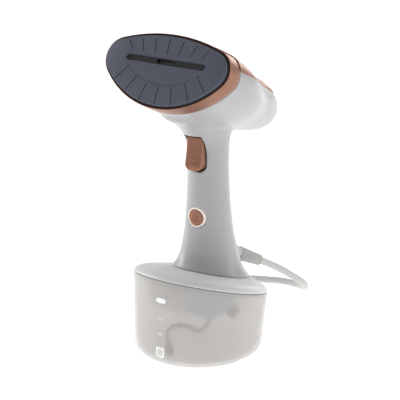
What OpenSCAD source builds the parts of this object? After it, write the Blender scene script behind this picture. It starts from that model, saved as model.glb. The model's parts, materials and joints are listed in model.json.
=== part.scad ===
// Handheld garment steamer standing on its water tank.
// Frame: millimetres, +Z up, the plate faces -Y, the origin is the centre of the tank's foot.

/* [Tank] */
// Radius of the tank wall just above its foot
tank_foot_r = 56.1; // [50:0.1:60]
// Radius of the tank's round rim, measured in the sloping seam plane
tank_rim_r = 59.4; // [58:0.1:64]
// Wall thickness of the tank
tank_wall = 2.2; // [1.8:0.1:3]
// Height of the seam plane above the foot, on the tank's axis
seam_height = 60.3; // [55:0.1:70]
// Slope of the seam plane, down towards the back, in degrees
seam_tilt = 17.05; // [12:0.05:20]
// Height of the frosted collar above the seam
collar_height = 8.6; // [7:0.1:12]

/* [Handle] */
// Half width of the grip at its slimmest
grip_half_w = 18.2; // [17:0.1:21]
// Half width of the flare where the handle stands on the collar
flare_half_w = 38.5; // [34:0.1:42]
// Wall thickness of the two handle shells
shell_wall = 2.2; // [1.6:0.1:2.6]
// Diameter of the power button
power_button_d = 15; // [12:0.5:17]
// Height of the power button's centre
power_button_z = 119.6; // [112:0.1:126]
// Width of the steam trigger
trigger_w = 16.3; // [13:0.1:18]
// Height of the trigger's hinge pin
trigger_pin_z = 190; // [186:0.5:192]

/* [Head] */
// How far the soleplate leans back from upright, in degrees
head_tilt = 26.35; // [22:0.05:30]
// Height of the steam slot's centre on the face of the soleplate
slot_z = 265; // [255:1:275]
// Distance of the steam slot's centre in front of the tank's axis
slot_forward = 48; // [44:0.5:52]
// Radius of the soleplate's top edge
plate_top_r = 150; // [130:1:170]
// Radius of the soleplate's bottom edge
plate_bottom_r = 73; // [68:1:80]
// Radius of the soleplate's two blunt ends
plate_end_r = 15.5; // [12:0.5:18]
// Height of the soleplate's top edge above the slot
plate_rise = 21.5; // [18:0.5:24]
// Depth of the soleplate's bottom edge below the slot
plate_drop = 36.3; // [33:0.1:40]
// Length of the steam slot
slot_length = 77; // [60:1:84]
// Height of the steam slot
slot_width = 4.6; // [3:0.1:6]
// Depth of the rose-gold ring behind the face
ring_depth = 19; // [15:0.5:24]
// Depth of the head from the face to its rounded back
head_depth = 170; // [160:1:180]

/* [Cord] */
// Diameter of the mains lead
cord_d = 6.5; // [5:0.1:8]
// Length of the ribbed strain relief outside the handle
relief_length = 50; // [40:1:60]
// Angle of the strain relief below level
relief_drop = 27; // [20:1:32]
// Radius of the lead's outermost coiled turn
coil_outer_r = 47.9; // [44:0.1:50]
// Radius of the lead's innermost coiled turn
coil_inner_r = 26.4; // [26:0.1:30]

/* [Hidden] */
$fn = 64;

// Colours
shell_white = [0.93, 0.93, 0.94];
frosted = [0.86, 0.86, 0.85];
tank_grey = [0.84, 0.83, 0.81, 0.55];
rose_gold = [0.72, 0.50, 0.42];
plate_grey = [0.36, 0.38, 0.44];
dark_rubber = [0.16, 0.15, 0.16];
cast_grey = [0.62, 0.63, 0.65];
steel_grey = [0.70, 0.71, 0.73];
cord_grey = [0.80, 0.79, 0.77];
board_green = [0.12, 0.38, 0.22];
brass_yellow = [0.80, 0.66, 0.34];
nylon_white = [0.88, 0.88, 0.84];
black_plastic = [0.12, 0.12, 0.13];

// Small gap between pieces that move past each other
slip = 0.3;
loft_sides = 40;
ring_angles = [for (i = [0:loft_sides - 1]) 360 * i / loft_sides];

// ---------------------------------------------------------------- tools

function mix(a, b, t) = a + (b - a) * t;

// A closed solid through rings that all have the same number of points
module loft(rings) {
    n = len(rings[0]);
    m = len(rings);
    points = [for (ring = rings) each ring];
    sides = [
        for (k = [0:m - 2], i = [0:n - 1])
            let (a = k * n + i, b = k * n + (i + 1) % n)
                each [[a, a + n, b], [b, a + n, b + n]]
    ];
    first_cap = [[for (i = [0:n - 1]) i]];
    last_cap = [[for (i = [n - 1:-1:0]) (m - 1) * n + i]];
    polyhedron(points, concat(sides, first_cap, last_cap));
}

function unit(v) = v / norm(v);

function path_direction(path, i) =
    unit(path[min(i + 1, len(path) - 1)] - path[max(i - 1, 0)]);

// A round tube swept along points, from the first to the last
module sweep(path, r, sides = 10) {
    rings = [
        for (i = [0:len(path) - 1])
            let (
                d = path_direction(path, i),
                helper = abs(d.z) > 0.9 ? [0, 1, 0] : [0, 0, 1],
                u = unit(cross(helper, d)),
                v = cross(d, u)
            )
                [for (k = [0:sides - 1]) path[i] + r * (u * cos(360 * k / sides) - v * sin(360 * k / sides))]
    ];
    loft(rings);
}

module tube(r_out, r_in, h) {
    difference() {
        cylinder(r = r_out, h = h);
        translate([0, 0, -1])
            cylinder(r = r_in, h = h + 2);
    }
}

// A coil spring as evenly spaced closed rings joined by a thin bar, along +Z from 0 to h
module ring_spring(r, wire, h, turns) {
    for (i = [0:turns - 1])
        translate([0, 0, wire / 2 + i * (h - wire) / (turns - 1)])
            rotate_extrude()
                translate([r, 0])
                    circle(d = wire, $fn = 24);
    translate([r, 0, wire / 2])
        cylinder(d = wire * 0.8, h = h - wire, $fn = 24);
}

// ---------------------------------------------------------------- seam frame

rim_shift = 4;
base_shift = 17.2;

module on_seam() {
    translate([0, 0, seam_height])
        rotate([-seam_tilt, 0, 0])
            children();
}

module on_rim() {
    on_seam()
        translate([0, rim_shift, 0])
            children();
}

function seam_point(x, y, z) = [
    x,
    y * cos(seam_tilt) + z * sin(seam_tilt),
    seam_height - y * sin(seam_tilt) + z * cos(seam_tilt)
];

// ---------------------------------------------------------------- tank

foot_fillet = 7;
floor_thick = 2.6;
rim_gap = 0.7;
collar_gap = 0.5;

function foot_ring(r, z) = [for (a = ring_angles) [r * cos(a), r * sin(a), z]];
function rim_ring(r, z) = [for (a = ring_angles) seam_point(r * cos(a), rim_shift + r * sin(a), z)];
function mix_rings(a, b, t) = [for (i = [0:len(a) - 1]) mix(a[i], b[i], t)];

// Rings of the tank's skin, moved in by an inset, with the floor at floor_z
function tank_rings(inset, floor_z, top) =
    let (
        r = tank_foot_r - inset,
        low = foot_ring(r, floor_z + foot_fillet),
        high = rim_ring(tank_rim_r - inset, top)
    )
        concat(
            [for (a = [0:22.5:67.5])
                foot_ring(r - foot_fillet + foot_fillet * sin(a), floor_z + foot_fillet * (1 - cos(a)))],
            [low],
            [for (t = [0.5, 1]) mix_rings(low, high, t)]
        );

module tank() {
    color(tank_grey)
        difference() {
            loft(tank_rings(0, 0, -rim_gap));
            loft(tank_rings(tank_wall, floor_thick, 2));
            // shallow channel under the foot, between its edge and its middle
            translate([0, 0, -1])
                tube(tank_foot_r - 15, 30, 1.6);
            // hole of the fill plug
            on_fill_plug()
                cylinder(r = 4, h = 20, center = true);
        }
}

// How far the wall behind the tank leans out
fill_plug_tilt = 7.4;

// The fill plug's axis, at the middle of the wall behind the tank, +Z outwards
module on_fill_plug() {
    translate([0, tank_foot_r - 1, 13])
        rotate([-90 - fill_plug_tilt, 0, 0])
            children();
}

module fill_plug() {
    color(dark_rubber)
        on_fill_plug() {
            translate([0, 0, -3.2])
                cylinder(r = 3.95, h = 5.6);
            translate([0, 0, -3.4])
                cylinder(r = 4.7, h = 1.4);
            translate([0, 0, 2.1])
                cylinder(r = 6.5, h = 1.6);
            translate([-1.5, 0, 2.5])
                cube([3, 8.4, 1.2]);
        }
}

module tank_seal() {
    color(dark_rubber)
        on_rim()
            rotate_extrude()
                translate([tank_rim_r - 2.4, -0.4])
                    square([1.9, collar_gap + 0.4]);
}

// ---------------------------------------------------------------- collar and pump cup

pump_y = 17;
cup_r = 22.5;
cup_centre_z = 43;
cup_wall = 1.8;
collar_r = tank_rim_r + 0.1;
collar_wall = 2.2;
latch_w = 15;
valve_place = [-40, 28];
valve_stem = 6.7;

// Rings of the collar's skin, from its edge up the chamfer to the foot of the handle
function collar_rings(inset, low) = concat(
    [rim_ring(collar_r - inset, low)],
    [for (q = [[0.1, 1.4], [1.4, 2.9], [3.6, 4.5], [5.8, 5.5], [8, 6.1]])
        rim_ring(collar_r - q[0] - inset, q[1] - (low < collar_gap ? inset * 0.7 : 0))],
    [[for (a = ring_angles)
        seam_point((flare_half_w - inset) * cos(a), base_shift + (flare_half_w - inset) * sin(a),
            collar_height - (low < collar_gap ? inset : 0))]]
);

module tank_collar() {
    color(frosted)
        resize([0, 0, 0])
            difference() {
                union() {
                    difference() {
                        loft(collar_rings(0, collar_gap));
                        loft(collar_rings(collar_wall, -1));
                    }
                    // skirt that enters the tank
                    on_rim()
                        translate([0, 0, -3.5])
                            tube(tank_rim_r - 3.7, tank_rim_r - 5.5, 7);
                    // stop behind the release spring
                    on_rim()
                        translate([-5, collar_r - 14.6, 1])
                            cube([10, 2, 6.4]);
                }
                // opening for the pump
                translate([0, pump_y, 20])
                    cylinder(r = 17, h = 80);
                // window for the release button
                on_rim()
                    translate([-latch_w / 2 - slip, collar_r - 10.5, 1])
                        cube([latch_w + 2 * slip, 14, 5]);
                // seat of the air valve
                on_rim()
                    translate([valve_place.x, valve_place.y, 0])
                        cylinder(r = 2.6, h = 20, $fn = 24);
            }
}

module tank_release() {
    color(frosted)
        on_rim()
            translate([-latch_w / 2, 0, 1 + slip]) {
                intersection() {
                    translate([0, collar_r - 5, 0])
                        cube([latch_w, 7, 4.4]);
                    translate([latch_w / 2, 0, -1])
                        cylinder(r = collar_r + 1.4, h = 8);
                }
                // rib that the spring pushes on
                translate([0, collar_r - 6.5, 0])
                    cube([latch_w, 1.6, 4.4]);
            }
}

module release_spring() {
    color(steel_grey)
        on_rim()
            translate([0, collar_r - 12.4, 3.5])
                rotate([-90, 0, 0])
                    ring_spring(1.5, 0.5, 5.8, 4);
}

module air_valve() {
    color(dark_rubber)
        on_rim()
            translate([valve_place.x, valve_place.y, 2]) {
                cylinder(r = 4, h = 1.2);
                cylinder(r = 2.5, h = valve_stem);
                translate([0, 0, valve_stem])
                    cylinder(r = 3.2, h = 0.8);
            }
}

module cup_skin(r) {
    sphere(r = r);
    cylinder(r = r, h = 40);
}

module pump_cup() {
    color([0.78, 0.80, 0.82])
        difference() {
            translate([0, pump_y, 0])
                union() {
                    translate([0, 0, cup_centre_z])
                        cup_skin(cup_r);
                    // spigot that the suction hose is pushed on
                    translate([0, 0, 16.5])
                        cylinder(r = 2.9, h = 6);
                }
            translate([0, pump_y, cup_centre_z])
                cup_skin(cup_r - cup_wall);
            translate([0, pump_y, 0])
                cylinder(r = 1.2, h = 30);
            // the rim is cut to the collar's slope
            on_seam()
                translate([-60, -60, collar_height - collar_wall])
                    cube([120, 120, 60]);
        }
}

// ---------------------------------------------------------------- pump

pump_bore_r = 3.6;
pump_base_z = 24;
pump_top_z = 97;
plunger_low_z = 50;
plunger_h = 26;

module pump_body() {
    color(nylon_white)
        translate([0, pump_y, 0])
            difference() {
                union() {
                    translate([0, 0, pump_base_z])
                        cylinder(r = 6, h = 14);
                    translate([0, 0, pump_base_z + 14])
                        cylinder(r = 8, h = 55);
                    translate([0, 0, 58.5])
                        cylinder(r = 11, h = 2.5);
                    translate([0, 0, pump_top_z - 5])
                        cylinder(r = 1.9, h = 5);
                }
                translate([0, 0, 44])
                    cylinder(r = pump_bore_r, h = 46);
                translate([0, 0, pump_base_z - 1])
                    cylinder(r = 1.2, h = 80);
            }
}

module pump_coil() {
    color(brass_yellow)
        translate([0, pump_y, 61])
            tube(13.5, 8.05, 13);
}

module pump_plunger() {
    color(steel_grey)
        translate([0, pump_y, plunger_low_z])
            cylinder(r = pump_bore_r - 0.06, h = plunger_h);
}

module pump_spring() {
    color(steel_grey)
        translate([0, pump_y, plunger_low_z + plunger_h + 0.1])
            ring_spring(2.8, 0.7, 13.7, 6);
}

suction_path = [
    [0, 17, 16.2], [-1.1, 16.4, 12.6], [-3.6, 15.2, 9.1], [-7.2, 14.1, 6.5], [-11.3, 13.9, 5.2],
    [-15.5, 14.9, 5.1], [-20.5, 17.2, 5.1], [-25.6, 17.9, 5.1], [-30.4, 16, 5.1], [-33.5, 11.8, 5.1],
    [-34.2, 6.5, 5.1], [-32.6, 0.5, 5.1], [-29.2, -5.8, 5.1], [-25, -12, 5.1], [-19.8, -19, 5.1],
    [-14.2, -26, 5.1], [-9, -32, 5.1],
];
suction_d = 4.3;

module suction_hose() {
    color([0.90, 0.90, 0.88])
        sweep(suction_path, suction_d / 2, 10);
}

module suction_filter() {
    color(cast_grey)
        translate([-9, -32, 6.6])
            rotate([0, 0, 37])
                rotate([90, 0, 0])
                    translate([0, 0, 0.2]) {
                        cylinder(r = 3.6, h = 10);
                        cylinder(r = 2.6, h = 11.5);
                    }
}

outlet_path = [
    [0, 17, 97.2], [0, 17.8, 106], [0, 20.5, 118], [0, 22.6, 132], [0, 22.8, 150], [0, 22.8, 170],
    [0, 22, 188], [0, 19, 203], [0, 12, 216], [0, 2, 225.5], [0, -9, 232.2], [0, -18, 236.8],
    [0, -27.2, 241.3],
];

module outlet_hose() {
    color([0.90, 0.90, 0.88])
        sweep(outlet_path, 2.5, 10);
}

// ---------------------------------------------------------------- handle and head skins

// Handle sections: height and depth of the centre, half width, half depth, slope of the section
handle_sections = [
    [60.2, 19.0, 1.00, 1.00, 15],
    [63.0, 18.8, 0.84, 0.84, 15],
    [67.0, 18.5, 0.70, 0.70, 14],
    [72.5, 18.2, 0.545, 0.545, 12],
    [80, 17.8, 0.41, 0.41, 8],
    [91, 17.3, 0.285, 0.285, 4],
    [104, 16.7, 0.17, 0.17, 2],
    [120, 16.2, 0.09, 0.09, 0],
    [138, 15.9, 0.03, 0.03, 0],
    [156, 15.7, 0, 0, 0],
    [172, 15.5, 0, 0.01, 0],
    [183, 15.2, 0.01, 0.08, 0],
    [189, 14.9, 0.03, 0.22, 0],
    [194, 15.0, 0.07, 0.43, 0],
    [200, 16.0, 0.12, 0.78, 0],
    [207, 11.3, 0.22, 1.01, 0],
    [213, 6.0, 0.34, 1.27, 0],
    [219, 6.0, 0.34, 1.27, 0],
];

function grow(share) = mix(grip_half_w, flare_half_w, share);

function handle_ring(s, inset) =
    let (a = grow(s[2]) - inset, b = grow(s[3]) - inset)
        [for (t = ring_angles)
            [a * cos(t), s[1] + b * sin(t) * cos(s[4]), s[0] - b * sin(t) * sin(s[4])]];

module handle_skin(inset) {
    loft([for (s = handle_sections) handle_ring(s, inset)]);
}

module on_head() {
    translate([0, -slot_forward, slot_z])
        rotate([90 - head_tilt, 0, 0])
            children();
}

function head_point(x, p, n) = [
    x,
    -slot_forward + p * sin(head_tilt) - n * cos(head_tilt),
    slot_z + p * cos(head_tilt) + n * sin(head_tilt)
];

// The soleplate's outline: two long arcs joined by two end arcs that touch them
top_centre = plate_rise - plate_top_r;
bottom_centre = plate_bottom_r - plate_drop;
end_p = (pow(plate_top_r - plate_end_r, 2) - pow(plate_bottom_r - plate_end_r, 2)
    - pow(top_centre, 2) + pow(bottom_centre, 2)) / (2 * (bottom_centre - top_centre));
end_x = sqrt(pow(plate_bottom_r - plate_end_r, 2) - pow(end_p - bottom_centre, 2));
top_angle = atan2(end_p - top_centre, end_x);
bottom_angle = atan2(end_p - bottom_centre, end_x);

function arc_points(cx, cy, r, from, to, steps) = [
    for (i = [0:steps - 1])
        let (a = mix(from, to, i / steps)) [cx + r * cos(a), cy + r * sin(a)]
];

function leaf(o, ends = 8, top = 10, bottom = 14) = concat(
    arc_points(end_x, end_p, plate_end_r + o, bottom_angle, top_angle, ends),
    arc_points(0, top_centre, plate_top_r + o, top_angle, 180 - top_angle, top),
    arc_points(-end_x, end_p, plate_end_r + o, 180 - top_angle, 180 - bottom_angle, ends),
    arc_points(0, bottom_centre, plate_bottom_r + o, 180 - bottom_angle, 360 + bottom_angle, bottom)
);

plate_half_w = end_x + plate_end_r;
plate_mid_p = (plate_rise - plate_drop) / 2;
plate_half_h = (plate_rise + plate_drop) / 2;

// Head sections behind the ring: depth, share of roundness, half width, half height, centre
head_sections = [
    [ring_depth, 0, 1, 1, plate_mid_p],
    [34, 0.14, 57, 28, -9.5],
    [52, 0.36, 54, 27, -9],
    [72, 0.64, 49.5, 26.5, -8],
    [92, 0.9, 43.5, 26, -6],
    [112, 1, 37.5, 25.5, -3.5],
    [132, 1, 32, 24, -1.5],
    [148, 1, 26.5, 21, -0.5],
    [160, 1, 19.5, 16, 0],
    [167.5, 1, 11, 9, 0.5],
    [head_depth, 1, 3, 3, 0.5],
];

function head_ring(s, inset) = [
    for (q = leaf(2.5 - inset))
        let (
            angle = atan2((q.y - plate_mid_p) / plate_half_h, q.x / plate_half_w),
            round_point = [
                max(s[2] - inset, 1) * cos(angle),
                s[4] + max(s[3] - inset, 1) * sin(angle)
            ],
            point = mix(q, round_point, s[1])
        )
            head_point(point.x, point.y, -s[0] + (s[0] > 140 || s[0] < 20 ? inset : 0))
];

module head_skin(inset) {
    loft([for (i = [len(head_sections) - 1:-1:0]) head_ring(head_sections[i], inset)]);
}

// ---------------------------------------------------------------- shells

trigger_low_z = 162;
trigger_high_z = 193.5;
trigger_corner_r = 7;
relief_turn = 13;
relief_origin = [0, 36, 81];
// Screws that join the shells: depth, height, and how far left of the middle the head sits
screw_places = [[31.5, 106, 8], [30, 146, 7.5], [29.5, 176, 7.5], [62, 209, 12]];

module on_relief() {
    translate(relief_origin)
        rotate([0, 0, -relief_turn])
            rotate([-90 - relief_drop, 0, 0])
                children();
}

module along_x(y, z) {
    translate([0, y, z])
        rotate([0, 90, 0])
            children();
}

// Plan of the rose-gold top cover, right half: how far behind the ring, half width
trim_plan = [
    [0, 60.5], [20, 57.7], [40, 52], [56, 43.5], [70, 33.5], [82, 29], [100, 27.5],
    [114, 25.5], [124, 22], [132, 16], [137, 9], [139, 0]
];

module trim_prism() {
    on_head()
        rotate([-90, 0, 0])
            translate([0, ring_depth, 0])
                linear_extrude(height = 60)
                    polygon([
                        for (q = trim_plan) [q[1], q[0]],
                        for (i = [len(trim_plan) - 2:-1:0]) [-trim_plan[i][1], trim_plan[i][0]]
                    ]);
}

// The outline of the trigger seen from the front, with a round lower end, through the grip's wall
module front_outline(half_w, low, high, r) {
    translate([0, 10, 0])
        rotate([90, 0, 0])
            linear_extrude(height = 40) {
                translate([-half_w, low + r])
                    square([2 * half_w, high - low - r]);
                translate([r - half_w, low])
                    square([2 * (half_w - r), 2 * r]);
                for (side = [-1, 1])
                    translate([side * (half_w - r), low + r])
                        circle(r = r);
            }
}

module shell_solid() {
    difference() {
        union() {
            handle_skin(0);
            head_skin(0);
        }
        difference() {
            union() {
                handle_skin(shell_wall);
                head_skin(shell_wall);
            }
            // screw posts stay inside
            for (p = screw_places)
                along_x(p[0], p[1])
                    translate([0, 0, -60])
                        cylinder(r = 3.9, h = 120, $fn = 24);
        }
    }
}

module shell_cuts() {
    // the shells stand on the collar
    on_seam()
        translate([-80, -80, -60])
            cube([160, 160, 60 + collar_height + 0.05]);
    // trigger window
    front_outline(trigger_w / 2 + slip, trigger_low_z - 1.8, trigger_high_z + 0.4, trigger_corner_r + slip);
    // power button
    translate([0, 10, power_button_z])
        rotate([90, 0, 0])
            cylinder(d = power_button_d + 2.6, h = 40, $fn = 40);
    // strain relief
    on_relief()
        cylinder(r = 6.9, h = 30, $fn = 32);
    // hinge pin
    along_x(pin_y, trigger_pin_z)
        translate([0, 0, -12.5])
            cylinder(r = 1.3, h = 25, $fn = 20);
}

// resize() with no change of size keeps each shell as one faceted skin
module left_shell() {
    color(shell_white)
        resize([0, 0, 0])
            difference() {
                intersection() {
                    shell_solid();
                    translate([-100, -100, 0])
                        cube([100, 300, 320]);
                }
                shell_cuts();
                for (p = screw_places)
                    along_x(p[0], p[1]) {
                        translate([0, 0, -p[2] - 1])
                            cylinder(r = 1.5, h = 20, $fn = 20);
                        translate([0, 0, -p[2] - 50])
                            cylinder(r = 2.6, h = 50, $fn = 24);
                    }
            }
}

module right_shell() {
    color(shell_white)
        resize([0, 0, 0])
            difference() {
                intersection() {
                    shell_solid();
                    translate([0, -100, 0])
                        cube([100, 300, 320]);
                }
                shell_cuts();
                for (p = screw_places)
                    along_x(p[0], p[1])
                        translate([0, 0, -1])
                            cylinder(r = 1.3, h = 8, $fn = 20);
            }
}

module shell_screws() {
    color(steel_grey)
        for (p = screw_places)
            along_x(p[0], p[1]) {
                translate([0, 0, -p[2] - 1.7])
                    cylinder(r = 2.3, h = 1.6);
                translate([0, 0, -p[2] - 0.2])
                    cylinder(r = 1.2, h = p[2] + 6);
            }
}

module top_trim() {
    color(rose_gold)
        resize([0, 0, 0])
            intersection() {
                difference() {
                    head_skin(-1);
                    head_skin(0);
                }
                trim_prism();
            }
}

// ---------------------------------------------------------------- trigger and switch

pin_y = 4;
trigger_swing = norm([pin_y + 9.5, trigger_pin_z - trigger_low_z - 1]);

// Side view of the trigger: depth forward of the pin, height
module trigger_side() {
    polygon([
        [2.5, trigger_high_z - trigger_pin_z - 0.8], [-8, trigger_high_z - trigger_pin_z - 0.8],
        [-9.4, trigger_high_z - trigger_pin_z - 2.2], [-10.6, -8], [-12.2, -17], [-13.6, -23.5],
        [-13.6, -26.5], [-12.6, -28.4], [-2, -28.4], [-2, -6], [2.5, -3]
    ]);
}

module trigger() {
    color(rose_gold)
        difference() {
            intersection() {
                front_outline(trigger_w / 2, trigger_low_z - 0.4, trigger_high_z + 10, trigger_corner_r);
                translate([0, pin_y, trigger_pin_z]) {
                    intersection() {
                        translate([trigger_w / 2, 0, 0])
                            rotate([90, 0, -90])
                                mirror([1, 0, 0])
                                    linear_extrude(height = trigger_w)
                                        trigger_side();
                        // the lower end swings on an arc about the pin
                        along_x(0, 0)
                            translate([0, 0, -20])
                                cylinder(r = trigger_swing, h = 40);
                    }
                    along_x(0, 0)
                        translate([0, 0, -trigger_w / 2])
                            cylinder(r = 2.6, h = trigger_w);
                    // boss that meets the switch
                    translate([0, -2.5, switch_z - trigger_pin_z])
                        rotate([-90, 0, 0])
                            cylinder(r = 1.6, h = 6.2);
                }
            }
            along_x(pin_y, trigger_pin_z)
                translate([0, 0, -20])
                    cylinder(r = 1.3, h = 40);
        }
}

module trigger_pin() {
    color(steel_grey)
        along_x(pin_y, trigger_pin_z)
            translate([0, 0, -12])
                cylinder(r = 1.25, h = 24);
}

module trigger_spring() {
    color(steel_grey)
        translate([0, pin_y - 1.9, 165.5])
            rotate([-90, 0, 0])
                ring_spring(2, 0.6, 7.5, 5);
}

switch_z = 178;

module micro_switch() {
    color(black_plastic)
        difference() {
            translate([-3, 10.4, switch_z - 7])
                cube([6, 6.4, 14]);
            translate([0, 9, switch_z])
                rotate([-90, 0, 0])
                    cylinder(r = 1.05, h = 5);
        }
}

module switch_bracket() {
    color(nylon_white) {
        translate([-15.4, 16.9, 158])
            cube([30.8, 1.5, 30]);
        translate([-5, 9.7, 161])
            cube([10, 7.3, 9]);
    }
}

module switch_plunger() {
    color(rose_gold)
        translate([0, 8, switch_z])
            rotate([-90, 0, 0])
                cylinder(r = 1, h = 4);
}

// ---------------------------------------------------------------- power button and board

button_front_y = -5.4;
face_r = 20.1;
face_y = 16.2;
board_y = 7;

module on_button() {
    translate([0, button_front_y, power_button_z])
        rotate([-90, 0, 0])
            children();
}

// A solid kept inside the grip's round face, raised by a little
module face_round(raise) {
    intersection() {
        children();
        translate([0, face_y, power_button_z - 30])
            cylinder(r = face_r + raise, h = 60);
    }
}

module power_button() {
    color(rose_gold)
        face_round(1)
            on_button() {
                cylinder(d = power_button_d, h = 5);
                translate([0, 0, 5])
                    cylinder(d = power_button_d - 5, h = 0.8);
                cylinder(r = 1.8, h = 9.2);
            }
}

module power_light_ring() {
    color([0.97, 0.92, 0.88])
        face_round(0.4)
            on_button()
                translate([0, 0, 0.2])
                    tube(power_button_d / 2 + 1.2, power_button_d / 2 + 0.08, 5);
}

module button_spring() {
    color(steel_grey)
        on_button()
            translate([0, 0, 5.9])
                ring_spring(3.2, 0.5, 4, 3);
}

module control_board() {
    color(board_green)
        difference() {
            translate([-12, board_y + 5.4, 98])
                cube([24, 1.6, 52]);
            for (z = [102, 146])
                translate([9, board_y, z])
                    rotate([-90, 0, 0])
                        cylinder(r = 1.2, h = 12);
        }
}

module tact_switch() {
    color(black_plastic) {
        translate([-3, board_y + 1.2, power_button_z - 3])
            cube([6, 4.2, 6]);
        translate([0, button_front_y + 10.6, power_button_z])
            rotate([-90, 0, 0])
                cylinder(r = 1.6, h = 6);
    }
}

// ---------------------------------------------------------------- heated head

plate_thick = 4;

module leaf_prism(o, n_low, n_high) {
    translate([0, 0, n_low])
        linear_extrude(height = n_high - n_low)
            polygon(leaf(o));
}

module slot_shape(length, width, n_low, n_high) {
    for (side = [-1, 1])
        translate([side * (length - width) / 2, 0, n_low])
            cylinder(d = width, h = n_high - n_low);
    translate([-(length - width) / 2, -width / 2, n_low])
        cube([length - width, width, n_high - n_low]);
}

// Grooves of the soleplate: outer and inner ends, right half, from the middle out
upper_grooves = [[[0, 18.8], [0, 6.1]], [[13.6, 18.4], [11.5, 6.5]], [[26.7, 16.8], [23, 6.4]],
    [[39.1, 14], [34.5, 6.7]]];
lower_grooves = [[[0, -36.1], [0, -20.3]], [[16.2, -34.5], [12.2, -19.1]],
    [[31.5, -28.5], [23.9, -14.9]], [[44.5, -20], [33.9, -7.4]]];
groove_w = 0.9;
groove_depth = 0.6;

module groove(from, to) {
    d = to - from;
    translate([from.x, from.y, -groove_depth])
        rotate([0, 0, atan2(d.y, d.x)])
            translate([0, -groove_w / 2, 0])
                cube([norm(d), groove_w, 2]);
}

module steam_plate() {
    color(plate_grey)
        on_head()
            difference() {
                leaf_prism(0, -plate_thick, 0);
                slot_shape(slot_length, slot_width, -10, 10);
                for (g = concat(upper_grooves, lower_grooves))
                    for (side = [-1, 1])
                        if (side > 0 || g[0].x > 0)
                            groove([side * g[0].x, g[0].y], [side * g[1].x, g[1].y]);
            }
}

module slot_insert() {
    color(black_plastic)
        on_head()
            difference() {
                union() {
                    slot_shape(slot_length - 0.1, slot_width - 0.1, -4, -1.4);
                    slot_shape(slot_length + 4, slot_width + 4, -5.2, -4);
                }
                slot_shape(18, 3.2, -10, 10);
            }
}

// How far the ring's front edge lies behind the soleplate's face
ring_set_back = 2.9;

module plate_gasket() {
    color(dark_rubber)
        on_head()
            difference() {
                leaf_prism(1, -5, -ring_set_back - 0.4);
                leaf_prism(0.02, -10, 10);
            }
}

module trim_ring() {
    color(rose_gold)
        difference() {
            loft([
                for (s = [[-ring_depth + 0.1, 2.7], [-9, 2.7], [-5.5, 2.5], [-3.7, 2.1], [-ring_set_back, 1.5]])
                    [for (q = leaf(s[1])) head_point(q.x, q.y, s[0])]
            ]);
            loft([
                for (s = [[-ring_depth - 1, 0.7], [-6, 0.7], [-5.1, 1.02], [1, 1.02]])
                    [for (q = leaf(s[1])) head_point(q.x, q.y, s[0])]
            ]);
        }
}

element_r = 3.2;
element_bend_r = 9;
element_leg = 28;

// U-shaped tube: two legs along X joined by a half turn
module element_shape(r) {
    translate([0, plate_mid_p, -13]) {
        for (side = [-1, 1])
            translate([-element_leg, side * element_bend_r, 0])
                rotate([0, 90, 0])
                    cylinder(r = r, h = 2 * element_leg);
        translate([element_leg, 0, 0])
            rotate([0, 0, -90])
                rotate_extrude(angle = 180)
                    translate([element_bend_r, 0])
                        circle(r = r);
    }
}

module heater_block() {
    color(cast_grey)
        on_head()
            difference() {
                leaf_prism(-3.5, -17, -plate_thick - 1.3);
                element_shape(element_r + 0.05);
                // steam chamber behind the slot
                translate([-20, plate_mid_p + 14, -18])
                    cube([40, 8, 12]);
                for (x = [-45, 45], p = [-12, 3])
                    translate([x, p, -18])
                        cylinder(r = 1.25, h = 9);
            }
}

module heater_cover() {
    color(cast_grey)
        on_head()
            difference() {
                union() {
                    leaf_prism(-3.5, -19.5, -17);
                    translate([0, -12, -25])
                        cylinder(r = 3.4, h = 6);
                    translate([0, -12, -29])
                        cylinder(r = 1.9, h = 5);
                }
                translate([0, -12, -32])
                    cylinder(r = 1.1, h = 20);
                for (x = [-45, 45], p = [-12, 3])
                    translate([x, p, -22])
                        cylinder(r = 1.7, h = 9);
            }
}

module heating_element() {
    color(steel_grey)
        on_head()
            element_shape(element_r);
}

module chamber_screws() {
    color(steel_grey)
        on_head()
            for (x = [-45, 45], p = [-12, 3])
                translate([x, p, -21.5]) {
                    cylinder(r = 3, h = 2);
                    cylinder(r = 1.25, h = 12);
                }
}

module thermostat() {
    color(black_plastic)
        on_head()
            translate([20, -7, -26]) {
                cylinder(r = 8, h = 6.5);
                for (x = [-4.5, 4.5])
                    translate([x - 0.4, -3, -6])
                        cube([0.8, 6, 7]);
            }
}

module thermal_fuse() {
    color(brass_yellow)
        on_head()
            translate([-30, -7, -21.6])
                rotate([0, 90, 0]) {
                    cylinder(r = 2.1, h = 12);
                    translate([0, 0, -6])
                        cylinder(r = 0.5, h = 24);
                }
}

module heat_shield() {
    color(steel_grey)
        on_head()
            difference() {
                union() {
                    leaf_prism(-6, -35.4, -34.8);
                    for (x = [-33, 33], p = [-14, 0])
                        translate([x, p, -35])
                            cylinder(r = 1.5, h = 15.5);
                }
                translate([0, -12, -40])
                    cylinder(r = 6, h = 10);
            }
}

// ---------------------------------------------------------------- cord entry

module cord_clamp() {
    color(nylon_white)
        difference() {
            on_relief() {
                translate([-9, -6.4, -9.5])
                    cube([18, 3.1, 6]);
                translate([-9, 3.3, -9.5])
                    cube([18, 1.5, 6]);
            }
            for (x = [-6.5, 6.5])
                on_relief()
                    translate([x, -10, -6.5])
                        rotate([-90, 0, 0])
                            cylinder(r = 1.4, h = 20);
        }
}

module clamp_screws() {
    color(steel_grey)
        on_relief()
            for (x = [-6.5, 6.5])
                translate([x, -8, -6.5])
                    rotate([-90, 0, 0]) {
                        cylinder(r = 2.6, h = 1.5);
                        cylinder(r = 1.3, h = 13);
                    }
}

relief_rib = 3.1;

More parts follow.
